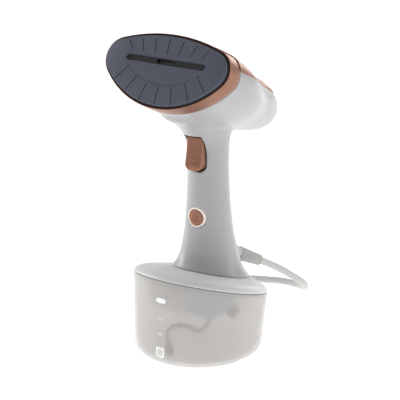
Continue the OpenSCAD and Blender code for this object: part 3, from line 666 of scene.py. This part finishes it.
def make_ring():
    back, front = -RING_DEPTH + 0.1, -RING_SET_BACK
    # the front lip stands round a narrow trough that parts the ring from the soleplate
    profile = [
        (2.45, back), (2.7, back + 0.35), (2.75, -14), (2.74, -9), (2.7, front - 2), (2.62, front - 0.7),
        (2.45, front - 0.15), (2.2, front), (1.98, front - 0.2), (1.55, front - 1.6), (1.15, -6), (0.7, -6.1),
        (0.7, back),
    ]
    finish(band("trim_ring_band", profile), "rose_gold", "handle", ["trim_ring"])
    sealed = front - 0.4
    gasket = [(1.0, sealed), (1.0, -5), (0.03, -5), (0.03, sealed)]
    # the gasket's dark rubber carries a painted brown reflection of the ring
    finish(band("plate_gasket_band", gasket), "rubber", "handle", ["plate_gasket"], GASKET_RUBBER_PAINTED_REFLECTION)


# Plan of the top cover, right half: how far behind the ring, half width
TRIM_PLAN = np.array([
    [0, 60.5], [20, 57.7], [40, 52], [56, 43.5], [70, 33.5], [82, 29], [100, 27.5],
    [114, 25.5], [124, 22], [132, 16], [137, 9], [139, 2],
])


def make_top_trim():
    """A thin cover that lies on the head's upper skin, with rounded edges."""
    thick, sunk = 0.95, 0.5
    share = np.sin(np.linspace(-1, 1, 81) * math.pi / 2)
    rings = []
    for back in np.linspace(0, TRIM_PLAN[-1, 0], 120):
        half_w = hermite(TRIM_PLAN[:, 0], TRIM_PLAN[:, 1], back).item()
        outline = head_section(RING_DEPTH + max(back, 0.05))
        upper = outline[outline[:, 1] > PLATE_MID + 2]
        upper = upper[np.argsort(upper[:, 0])]
        along = np.concatenate([[0], np.cumsum(np.linalg.norm(np.diff(upper, axis=0), axis=1))])
        ends = np.interp([-half_w, half_w], upper[:, 0], along)
        places = ends.mean() + share * (ends[1] - ends[0]) / 2
        line = np.column_stack([np.interp(places, along, upper[:, k]) for k in range(2)])
        across = np.gradient(line, axis=0)
        across /= np.linalg.norm(across, axis=1)[:, None]
        out = np.column_stack([-across[:, 1], across[:, 0]])
        thinning = (1 - np.abs(share) ** 24) * min(1, (TRIM_PLAN[-1, 0] - back) / 1.5 + 0.05)
        top = line + out * (thick * thinning)[:, None]
        under = line - out * sunk
        both = np.concatenate([top, under[::-1]])
        rings.append(head_point(both[:, 0], both[:, 1], -RING_DEPTH - back))
    finish(loft("top_trim_cover", rings, sharp_angle=50), "rose_gold", "handle", ["top_trim"])


# ---------------------------------------------------------------- soleplate

PLATE_THICK = 4.0
# Grooves of the soleplate, right half: outer and inner ends as (x, p)
UPPER_GROOVES = [((0, 18.8), (0, 6.1)), ((13.6, 18.4), (11.5, 6.5)), ((26.7, 16.8), (23, 6.4)),
                 ((39.1, 14), (34.5, 6.7))]
LOWER_GROOVES = [((0, -36.1), (0, -20.3)), ((16.2, -34.5), (12.2, -19.1)), ((31.5, -28.5), (23.9, -14.9)),
                 ((44.5, -20), (33.9, -7.4))]
GROOVE_W = 0.95
GROOVE_DEPTH = 0.6


def groove_cutter(name, line, width, depth):
    """A trough with sloping sides along a line of (x, p) points, to cut from the soleplate's face."""
    line = np.asarray(line, float)
    d = np.gradient(line, axis=0)
    d /= np.linalg.norm(d, axis=1)[:, None]
    side = np.column_stack([-d[:, 1], d[:, 0]])
    section = [(-0.75, 0.5), (0.75, 0.5), (0.3, -depth), (-0.3, -depth)]
    rings = [
        [head_point(q[0] + w * width * n[0], q[1] + w * width * n[1], height) for w, height in section]
        for q, n in zip(line, side)
    ]
    return loft(name, rings)


def stadium(length, width, count=64):
    """A slot's outline: two straight sides and two half circles, as (x, p)."""
    r, straight = width / 2, (length - width) / 2
    a = np.linspace(-math.pi / 2, math.pi / 2, count // 2)
    right = np.column_stack([straight + r * np.cos(a), r * np.sin(a)])
    return np.concatenate([right, -right])


def make_plate():
    rows = [(0, -PLATE_THICK), (0, -0.75), (-0.12, -0.4), (-0.4, -0.12), (-0.8, 0)]
    plate = loft("soleplate", [head_point(*leaf(o, OUTLINE_POINTS).T, n) for o, n in rows], sharp_angle=25)
    rows = [(1.7, 0.4), (1.1, -0.2), (0.5, -0.75), (0.05, -1.2), (0, -PLATE_THICK - 1)]
    cutters = [loft("slot", [head_point(*stadium(SLOT_LENGTH + w, SLOT_WIDTH + w).T, n) for w, n in rows])]
    for outer, inner in UPPER_GROOVES + LOWER_GROOVES:
        for side in (-1, 1):
            if side > 0 or outer[0] > 0:
                ends = [(side * outer[0], outer[1]), (side * inner[0], inner[1])]
                cutters.append(groove_cutter("groove", ends, GROOVE_W, GROOVE_DEPTH))
    # shallow arc between the lower grooves and the middle of the plate
    half_w, rise, lowest = 37.5, 14.5, -19.4
    radius = (half_w**2 + rise**2) / (2 * rise)
    swing = math.asin(half_w / radius)
    turns = np.linspace(-swing, swing, 49)
    arc = [(radius * math.sin(a), lowest + radius * (1 - math.cos(a))) for a in turns]
    cutters.append(groove_cutter("arc", arc, 0.5, 0.35))
    cut(plate, cutters)
    plate.data.set_sharp_from_angle(angle=math.radians(25))
    finish(plate, "plate_coating", "handle", ["steam_plate"])
    insert = frame["nodes"]["slot_insert"]
    # the slot insert is darkened as painted shade of its recess
    insert.data.materials[0] = SLOT_PAINTED_SHADE


# ---------------------------------------------------------------- trigger and power button


def polygon_distance(u, v, corners):
    """Signed distance in a plane to a closed polygon, negative inside."""
    nearest = np.full(np.broadcast(u, v).shape, 1e9)
    inside = np.zeros(nearest.shape, bool)
    corners = [np.array(c, float) for c in corners]
    for a, b in zip(corners, corners[1:] + corners[:1]):
        e = b - a
        t = np.clip(((u - a[0]) * e[0] + (v - a[1]) * e[1]) / e.dot(e), 0, 1)
        nearest = np.minimum(nearest, np.hypot(u - a[0] - t * e[0], v - a[1] - t * e[1]))
        crosses = (a[1] > v) != (b[1] > v)
        span = b[1] - a[1] if b[1] != a[1] else 1.0
        inside ^= crosses & (u < a[0] + (v - a[1]) * e[0] / span)
    return np.where(inside, -nearest, nearest)


def make_trigger():
    step = 0.3
    low = np.array([-10.0, -12, 158])
    x, y, z = grid_axes(low, (10.0, 13, 196), step)
    pin_y, pin_z = PIN
    side = [(2.5, 2.7), (-8, 2.7), (-9.4, 1.3), (-10.6, -8), (-12.2, -17), (-13.6, -23.5), (-13.6, -26.5),
            (-12.6, -28.4), (-2, -28.4), (-2, -6), (2.5, -3)]
    profile = polygon_distance(y - pin_y, z - pin_z, side)
    profile = np.maximum(profile, np.hypot(y - pin_y, z - pin_z) - 30.1)
    body = smooth_max(profile, trigger_outline(x, z, 0, 0), 2.2)
    boss = np.maximum(np.hypot(y - pin_y, z - pin_z) - 2.6, np.abs(x) - TRIGGER_HALF_W)
    body = np.minimum(body, boss)
    switch_boss = np.maximum(np.hypot(x, z - 178) - 1.6, np.abs(y - 4.6) - 3.1)
    body = np.minimum(body, switch_boss)
    body = np.maximum(body, 1.32 - np.hypot(y - pin_y, z - pin_z))

    # three raised wavy lines of steam near the lower end
    icon_z, icon_half, wave = 171.8, 3.3, 4.4
    lines = np.full(np.broadcast(x, z).shape, 1e9)
    for k in (-1, 0, 1):
        line = 2.3 * k + 0.55 * np.sin(2 * math.pi * (z - icon_z) / wave)
        lines = np.minimum(lines, np.abs(x - line) - 0.1)
    lines = np.maximum(lines, np.abs(z - icon_z) - icon_half)
    relief = 0.45 * np.clip(1 - lines / 0.5, 0, 1) * (y < 0)
    body = body - relief
    finish(solid_from_field("trigger_pad", body, low, step, 2, 50), "rose_gold", "trigger", ["trigger"])


def make_power_button():
    step = 0.3
    low = np.array([-9.0, -7, 110])
    x, y, z = grid_axes(low, (9.0, 5, 129), step)
    away = np.hypot(x, z - BUTTON_Z)
    face = np.hypot(x, y - 16.2) - 21.1
    cap = smooth_max(smooth_max(away - BUTTON_R + 0.05, face, 1.0), y + 0.4, 0.4)
    neck = np.maximum(away - 5, np.abs(y + 0.1) - 0.5)
    stem = np.maximum(away - 1.8, np.abs(y - 1.5) - 2.3)
    body = np.minimum(np.minimum(cap, neck), stem)
    # engraved power symbol: a ring open at the top, and a bar
    ring = np.maximum(np.abs(away - 2.5) - 0.12, -np.maximum(np.abs(x) - 0.9, BUTTON_Z - z))
    bar = np.maximum(np.abs(x) - 0.12, np.abs(z - BUTTON_Z - 2.1) - 1.4)
    symbol = np.minimum(ring, bar)
    body = body + 0.4 * np.clip(1 - symbol / 0.4, 0, 1) * (y < -2)
    button = solid_from_field("power_button_cap", body, low, step, 1, 50)
    finish(button, "rose_gold", "button", ["power_button"])


# ---------------------------------------------------------------- collar and tank


def rim_rings(rows, count=144):
    """Rings in the seam's frame from rows of (radius, shift of the centre behind the rim's, height)."""
    a = np.linspace(0, 2 * math.pi, count, endpoint=False)
    return [
        seam_point(r * np.cos(a), RIM_SHIFT + shift + r * np.sin(a), np.full(count, float(h)))
        for r, shift, h in rows
    ]


# The collar's skirt, which goes down into the tank, and the foot of the slope up to the grip
SKIRT_DEPTH = 3.5
SLOPE_R = 51.5
SLOPE_FOOT = 6.1


def make_collar():
    behind = BASE_SHIFT - RIM_SHIFT
    slope = [
        (SLOPE_R + (FLARE_HALF_W - SLOPE_R) * t, behind * t, SLOPE_FOOT + (COLLAR_HEIGHT - SLOPE_FOOT) * t)
        for t in (0, 0.12, 0.3, 0.5, 0.7, 0.88, 1)
    ]
    outside = [
        (55.7, 0, -SKIRT_DEPTH), (55.7, 0, 0), (59.1, 0, 0.05), (59.45, 0, 0.35), (59.5, 0, 1.1),
        (59.35, 0, 1.5), (58.75, 0, 2.2), (58.1, 0, 2.9), (57, 0, 3.75), (55.9, 0, 4.45), (54.8, 0, 5),
        (53.7, 0, 5.45), (52.6, 0, 5.8), *slope,
    ]
    inside = [(17.2, 11.1, COLLAR_HEIGHT), (17.2, 11.1, 6.4), (36.3, behind, 6.4), (49.3, 0, 4.56),
              (53.9, 0, 3.1), (53.9, 0, -SKIRT_DEPTH)]
    collar = loft("tank_collar_cover", rim_rings(outside + inside), wrap=True, sharp_angle=32)
    corners = [(sx * 7.8, y) for y, sx in ((49, -1), (49, 1), (63, 1), (63, -1))]
    window = loft("window", [
        [seam_point(np.array(x), np.array(y + RIM_SHIFT), np.array(h)) for x, y in corners]
        for h in (1.0, 6.0)
    ])
    a = np.linspace(0, 2 * math.pi, 32, endpoint=False)
    valve = loft("valve_hole", [
        seam_point(-40 + 2.6 * np.cos(a), 28 + RIM_SHIFT + 2.6 * np.sin(a), np.full(len(a), h))
        for h in (0.0, 12.0)
    ])
    cut(collar, [window, valve])
    collar.data.set_sharp_from_angle(angle=math.radians(32))
    finish(collar, "frosted", "handle", ["tank_collar"])


WALL = 2.2
RIM_GAP = 0.7


def wall_point(angle, share, out=0.0):
    """A point on the tank's outer wall: share 0 is the top of the foot's round edge, 1 is the rim."""
    c, s = np.cos(angle), np.sin(angle)
    foot = np.stack([(FOOT_R + out) * c, (FOOT_R + out) * s, FOOT_FILLET + 0 * c], axis=-1)
    rim = seam_point((RIM_R + out) * c, RIM_SHIFT + (RIM_R + out) * s, -RIM_GAP + 0 * c)
    return foot + (rim - foot) * np.asarray(share)[..., None]


def make_tank():
    count = 180
    a = np.linspace(0, 2 * math.pi, count, endpoint=False)

    def flat(r, z):
        return np.column_stack([r * np.cos(a), r * np.sin(a), np.full(count, float(z))])

    def fillet(r, z, steps):
        return [
            flat(r - FOOT_FILLET + FOOT_FILLET * math.sin(t), z + FOOT_FILLET * (1 - math.cos(t)))
            for t in steps
        ]

    quarter = np.radians(np.arange(0, 90, 10))
    outer = [flat(r, z) for r, z in ((2, 0), (29.7, 0), (30, 0.6), (41.1, 0.6), (41.4, 0))]
    outer += fillet(FOOT_R, 0, quarter)
    outer += [wall_point(a, np.full(count, t)) for t in np.linspace(0, 0.985, 14)]
    top = [wall_point(a, np.full(count, t), out) for t, out in ((1, -0.5), (1, -WALL + 0.5), (0.985, -WALL))]
    lower_inside = flat(FOOT_R - WALL, 2.6 + FOOT_FILLET)
    upper_inside = top[-1]
    inner = [upper_inside + (lower_inside - upper_inside) * t for t in (0.35, 0.7)]
    inner += fillet(FOOT_R - WALL, 2.6, np.radians(np.arange(90, -1, -15)))
    inner += [flat(2, 2.6)]
    rings = np.array(outer + top + inner)
    # a finger notch under each side of the tank's edge
    turn = np.minimum(np.abs(np.angle(np.exp(1j * a))), np.abs(np.angle(np.exp(1j * (a - math.pi)))))
    rise = np.clip((math.radians(20) - turn) / math.radians(7), 0, 1)
    depth = 3.2 * rise * rise * (3 - 2 * rise)
    under = (np.hypot(rings[..., 0], rings[..., 1]) > 46.5) & (np.arange(len(rings)) < len(outer))[:, None]
    lifted = np.maximum(rings[..., 2], depth[None] * (rings[..., 2] < 5))
    rings[..., 2] = np.where(under, lifted, rings[..., 2])
    tank = loft("water_tank", rings, sharp_angle=38)
    finish(tank, "tank_clear", "tank", ["tank"])


def wall_patch(name, angle, share, half_w, half_h, corner, lift, look):
    """A thin printed patch with round corners on the front of the tank's wall."""
    foot, rim = (wall_point(np.array(angle), np.array(end)) for end in (0.0, 1.0))
    height = np.linalg.norm(rim - foot)
    rings = []
    for s in half_w * np.sin(np.linspace(-1, 1, 31) * math.pi / 2) * 0.999:
        over = max(0, abs(s) - (half_w - corner))
        reach = half_h - corner + math.sqrt(max(corner**2 - over**2, 1e-4))
        t = share + np.linspace(-reach, reach, 7) / height
        column = np.full(7, angle + s / FOOT_R)
        front = wall_point(column, t, lift)
        back = wall_point(column, t, -0.05)
        rings.append(np.concatenate([front, back[::-1]]))
    finish(loft(name, rings), "frosted", "tank", look=look)


def make_marks():
    """Plain marks where a tank's level scale goes: a pill, two ticks and a square."""
    angle = math.radians(-91.8)
    # the white marks glow with painted light
    wall_patch("mark_full", angle, 0.75, 4.7, 2.1, 2.05, 0.12, PRINT_WHITE_PAINTED_GLOW)
    for k, share in enumerate((0.52, 0.31)):
        wall_patch(f"mark_level_{k}", angle, share, 1.9, 0.45, 0.4, 0.12, PRINT_WHITE_PAINTED_GLOW)
    wall_patch("mark_low", angle, 0.07, 4.4, 4.6, 1.9, 0.12, PRINT_WHITE_PAINTED_GLOW)
    wall_patch("mark_low_middle", angle, 0.07, 3.0, 3.1, 0.9, 0.2, FINISH["frosted"])


# ---------------------------------------------------------------- springs


def make_spring(node, radius, wire, turns, fixed_end, moving_end):
    """A wound spring with closed ends, between the handle and the part that it pushes back."""
    axis = moving_end - fixed_end
    unit = axis / np.linalg.norm(axis)
    across = np.cross(unit, [1.0, 0, 0])
    other = np.cross(unit, across)
    wound = np.linspace(0, turns, 16 * turns + 1)
    rise = np.clip((wound - 0.7) / (turns - 1.4), 0, 1)[:, None]
    room = unit * wire * 0.6
    angle = (2 * math.pi * wound)[:, None]
    path = fixed_end + room + (axis - 2 * room) * rise
    path = path + radius * (across * np.cos(angle) + other * np.sin(angle))
    spring = tube(node + "_wire", path, wire / 2, 8)
    finish(spring, "steel", None, [node])
    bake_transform(spring)


def make_springs():
    for node, body, wire, turns, along in (
        ("trigger_spring", "trigger", 0.6, 5, 1),
        ("button_spring", "button", 0.5, 4, 1),
        ("pump_spring", "piston", 0.7, 7, 2),
    ):
        low, high = (np.array(corner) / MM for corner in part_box(node))
        moving_end = (low + high) / 2
        fixed_end = moving_end.copy()
        moving_end[along], fixed_end[along] = low[along], high[along]
        make_spring(node, (high[0] - low[0] - wire) / 2, wire, turns, fixed_end, moving_end)
    ends = [seam_point(np.array(0.0), np.array(y + RIM_SHIFT), np.array(3.5)) for y in (47.1, 52.9)]
    make_spring("release_spring", 1.25, 0.5, 5, ends[0], ends[1])


# ---------------------------------------------------------------- cords


def make_strain_relief():
    """The ribbed boot, turned round the lead's axis."""
    pitch, first_rib, last_rib = 3.1, 24.0, 55.0
    along = np.arange(-3.4, 56.01, 0.25)
    core = np.interp(along, [-1.2, 9, 20, 24, 56], [6.6, 6.4, 6.1, 5.1, 3.7])
    phase = ((along - first_rib) / pitch) % 1
    rib = np.sqrt(np.clip(1 - (2 * phase - 1) ** 2 * 1.5, 0, 1))
    taper = np.interp(along, [first_rib, last_rib], [1.5, 1.2])
    radii = core + np.where((along > first_rib) & (along < last_rib), rib * taper, 0)
    radii = np.where(along < -1.2, 8.4, radii)
    path = RELIEF_ORIGIN + along[:, None] * relief_direction()
    boot = tube("cord_boot", path, radii, 40)
    finish(boot, "cord_grey", "handle", ["strain_relief"])
    return boot


# The lead's route from the strain relief to its coil, as in the frame's source
CORD_ROUTE = [
    (14, 96, 49.3), (17, 107, 42.6), (20, 118, 35), (22.8, 129, 27.2), (24, 137, 21.4), (23, 145, 15.8),
    (19.9, 152.6, 10.6), (15, 159, 6.9), (8.6, 163.9, 4.7), (1.1, 167, 3.6), (-6.9, 168.1, 3.4),
    (-14.9, 167.2, 3.4), (-24, 163.9, 3.4), (-36, 159, 3.4), (-50, 153, 3.4), (-63, 147.5, 3.4),
    (-75, 142.4, 3.4),
]
COIL_CENTRE = np.array([-64.0, 95.0])
COIL_OUTER = 47.9
COIL_INNER = 26.4
COIL_END = 50.1
COIL_TURNS = 3.25
COIL_LOW = 3.4
COIL_HIGH = 9.9
# From the coil's last turn round to the plug's cable entry
PLUG_ROUTE = [
    (-94.1, 134.4, 17.4), (-98.3, 129, 18.4), (-100.9, 122.8, 19.2), (-101.7, 116, 19.8),
    (-100.9, 109.3, 20.3), (-99.3, 105, 20.4), (-97.3, 101.5, 20.5),
]
PLUG_TURN = -56
PLUG_OFFSET = 24
PLUG_Z = 20.5


def coil_points():
    """Two layers of turns: inwards on the surface, and outwards on top of them."""
    start = math.radians(114)
    per_turn = 40
    rows = []
    for k in range(int(COIL_TURNS * per_turn) + 1):
        share = k / (COIL_TURNS * per_turn)
        radius = COIL_OUTER + (COIL_INNER - COIL_OUTER) * share
        rows.append((start + 2 * math.pi * COIL_TURNS * share, radius, COIL_LOW))
    turned = rows[-1][0]
    for k in range(1, 14):
        t = k / 14
        height = COIL_LOW + (COIL_HIGH - COIL_LOW) * t * t * (3 - 2 * t)
        rows.append((turned + 2 * math.pi / 3 * t, COIL_INNER, height))
    turned += 2 * math.pi / 3
    outwards = COIL_TURNS + 0.18
    for k in range(1, int(outwards * per_turn) + 1):
        share = k / (outwards * per_turn)
        # the last of it rises towards the plug
        t = 0.57 * max(0, 1 - (1 - share) * outwards / 0.19)
        height = COIL_HIGH + (PLUG_Z - COIL_HIGH) * t * t * (3 - 2 * t)
        radius = COIL_INNER + (COIL_END - COIL_INNER) * share
        rows.append((turned + 2 * math.pi * outwards * share, radius, height))
    return [(COIL_CENTRE[0] + r * math.cos(a), COIL_CENTRE[1] + r * math.sin(a), z) for a, r, z in rows]


def make_plug():
    """The moulded plug, shaped in its own frame: +X runs from its cable entry to its pins."""
    step = 0.5
    low = np.array([-27.0, -18, -9])
    x, y, z = grid_axes(low, (31.0, 18, 9), step)
    outline = [(-9, -6), (-3, -13), (5, -15.5), (29, -15.5), (29, 15.5), (5, 15.5), (-3, 13), (-9, 6)]
    body = smooth_max(polygon_distance(x, y, outline), np.abs(z) - 6.9, 3)
    # finger grooves across both faces, and the flexible neck's ribs
    grooves = 0.45 * np.clip(np.cos(2 * math.pi * x / 4.2), 0, 1) * (np.abs(x - 11) < 8.4)
    body = body + grooves * (np.abs(z) > 4)
    away = np.hypot(y, z)
    radius = np.interp(x, [-24, -8], [4.2, 6]) + 0.35 * np.cos(2 * math.pi * x / 3)
    neck = np.maximum(away - radius, np.abs(x + 15) - 9)
    body = smooth_min(body, neck, 1.5)
    body = np.maximum(body, x - 29)
    plug = solid_from_field("plug_moulding", body, low, step, 1, 45)
    turn = Matrix.Rotation(math.radians(PLUG_TURN), 4, "Z")
    centre = Matrix.Translation(Vector((COIL_CENTRE[0], COIL_CENTRE[1], PLUG_Z)) * MM)
    plug.data.transform(centre @ turn @ Matrix.Translation((0, -PLUG_OFFSET * MM, 0)))
    return finish(plug, "cord_grey", "tank", ["plug_body"])


def make_power_cord(plug):
    exit_point = RELIEF_ORIGIN + RELIEF_END * relief_direction()
    path = even_path([exit_point, *CORD_ROUTE, *coil_points(), *PLUG_ROUTE], 3.0)
    lead = tube("mains_lead", path, CORD_R, 16)
    finish(lead, "cord_grey", None, ["power_cord", "cord_coil"])
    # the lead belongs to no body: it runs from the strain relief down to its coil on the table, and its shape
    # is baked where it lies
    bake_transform(lead)


# The suction hose's route from the pump cup's spigot to the filter, as in the frame's source
HOSE_ROUTE = [
    (0, 17, 16.2), (-1.1, 16.4, 12.6), (-3.6, 15.2, 9.1), (-7.2, 14.1, 6.5), (-11.3, 13.9, 5.2),
    (-15.5, 14.9, 5.1), (-20.5, 17.2, 5.1), (-25.6, 17.9, 5.1), (-30.4, 16, 5.1), (-33.5, 11.8, 5.1),
    (-34.2, 6.5, 5.1), (-32.6, 0.5, 5.1), (-29.2, -5.8, 5.1), (-25, -12, 5.1), (-19.8, -19, 5.1),
    (-14.2, -26, 5.1), (-9, -32, 5.1),
]
HOSE_D = 4.3


def make_suction_hose():
    path = even_path(HOSE_ROUTE, 1.5)
    hose = tube("suction_tube", path, HOSE_D / 2, 20)
    finish(hose, "silicone", "handle", ["suction_hose"])


# ---------------------------------------------------------------- stage and light


def make_stage():
    """A pale floor, and a wall that curves up from it all round, far from the object."""
    a = np.linspace(0, 2 * math.pi, 96, endpoint=False)

    def rings(rows):
        return np.concatenate([
            np.column_stack([r * np.cos(a), r * np.sin(a), np.full(96, float(z))]) for r, z in rows
        ])

    for name, look, rows in (
        ("studio_floor", FLOOR_WHITE, [(0.5, -0.2), (1500, -0.2), (2600, -0.2)]),
        ("studio_wall", WALL_PALE, [(2600, -0.2), (3000, 60), (3250, 300), (3350, 800), (3350, 2600)]),
    ):
        surface = mesh_object(name, rings(rows), ring_faces(len(rows), 96, False))
        surface.data.materials.append(look)


def area_light(name, place, target, size, power):
    data = bpy.data.lights.new(name, "AREA")
    data.shape = "RECTANGLE"
    data.size, data.size_y = size
    data.energy = power
    light = bpy.data.objects.new(name, data)
    light.location = place
    light.rotation_euler = (Vector(target) - Vector(place)).to_track_quat("-Z", "Y").to_euler()
    scene.collection.objects.link(light)


def make_lights():
    aim = (0, 0, 0.15)
    area_light("left_softbox", (-1.35, -0.1, 0.5), aim, (0.6, 1.5), 10)
    area_light("right_softbox", (1.2, 0.95, 0.6), aim, (0.6, 1.5), 5)
    area_light("back_softbox", (-0.15, 1.5, 0.5), aim, (0.6, 0.5), 3.5)
    area_light("top_softbox", (-0.2, 0.3, 1.9), aim, (1.4, 1.4), 6.5)
    world = bpy.data.worlds.new("studio")
    world.use_nodes = True
    world.node_tree.nodes["Background"].inputs["Color"].default_value = (0.95, 0.97, 1, 1)
    world.node_tree.nodes["Background"].inputs["Strength"].default_value = 0.3
    scene.world = world
    scene.view_settings.view_transform = "Standard"


# ---------------------------------------------------------------- build

make_camera()
paint_cad_nodes()
boot = make_strain_relief()
make_power_cord(make_plug())
make_suction_hose()
make_shells()
make_ring()
make_top_trim()
make_plate()
make_trigger()
make_power_button()
make_collar()
make_tank()
make_marks()
make_springs()
make_stage()
make_lights()
